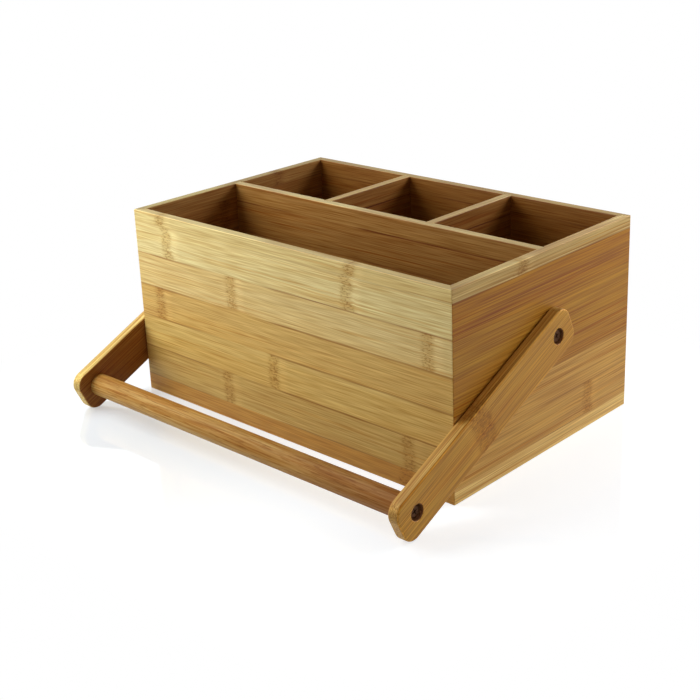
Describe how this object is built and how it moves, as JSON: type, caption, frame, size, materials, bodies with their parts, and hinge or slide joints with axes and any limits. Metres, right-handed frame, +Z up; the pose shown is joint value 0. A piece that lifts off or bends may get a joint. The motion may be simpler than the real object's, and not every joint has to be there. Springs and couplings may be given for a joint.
{
  "type": "utensil caddy",
  "caption": "Open rectangular bamboo box with upright dividers and a swinging carry handle: two flat arms joined by a round wooden dowel.",
  "frame": {"origin": "middle of the box's footprint, at the underside of its base board, on the table and under the handle's axis", "axes": "+X along the box, to the right as seen from the front; +Y from the front, where the lowered handle lies, to the back; +Z up"},
  "size_m": [0.371, 0.3029, 0.166],
  "materials": {
    "board_bamboo": "satin laminated bamboo, pale straw to amber",
    "arm_bamboo": "satin laminated bamboo, amber",
    "dowel_wood": "satin reddish-brown hardwood",
    "screw_steel": "black oxide, satin",
    "spacer": "matte dark brown"
  },
  "bodies": {
    "box": {"front_panel": "board_bamboo", "back_panel": "board_bamboo", "left_end_panel": "board_bamboo", "right_end_panel": "board_bamboo", "base_board": "board_bamboo", "long_divider": "board_bamboo", "left_cross_divider": "board_bamboo", "right_cross_divider": "board_bamboo", "left_pivot_screw": "screw_steel", "right_pivot_screw": "screw_steel", "left_pivot_washer": "screw_steel", "right_pivot_washer": "screw_steel", "left_spacer_washer": "spacer", "right_spacer_washer": "spacer"},
    "handle": {"left_arm": "arm_bamboo", "right_arm": "arm_bamboo", "grip_dowel": "dowel_wood", "left_dowel_screw": "screw_steel", "right_dowel_screw": "screw_steel"}
  },
  "joints": [
    {"name": "handle_swing", "type": "hinge", "parent": "box", "child": "handle", "pos_m": [0, 0, 0.099], "axis": [-1, 0, 0], "range_deg": [0, 230]}
  ]
}
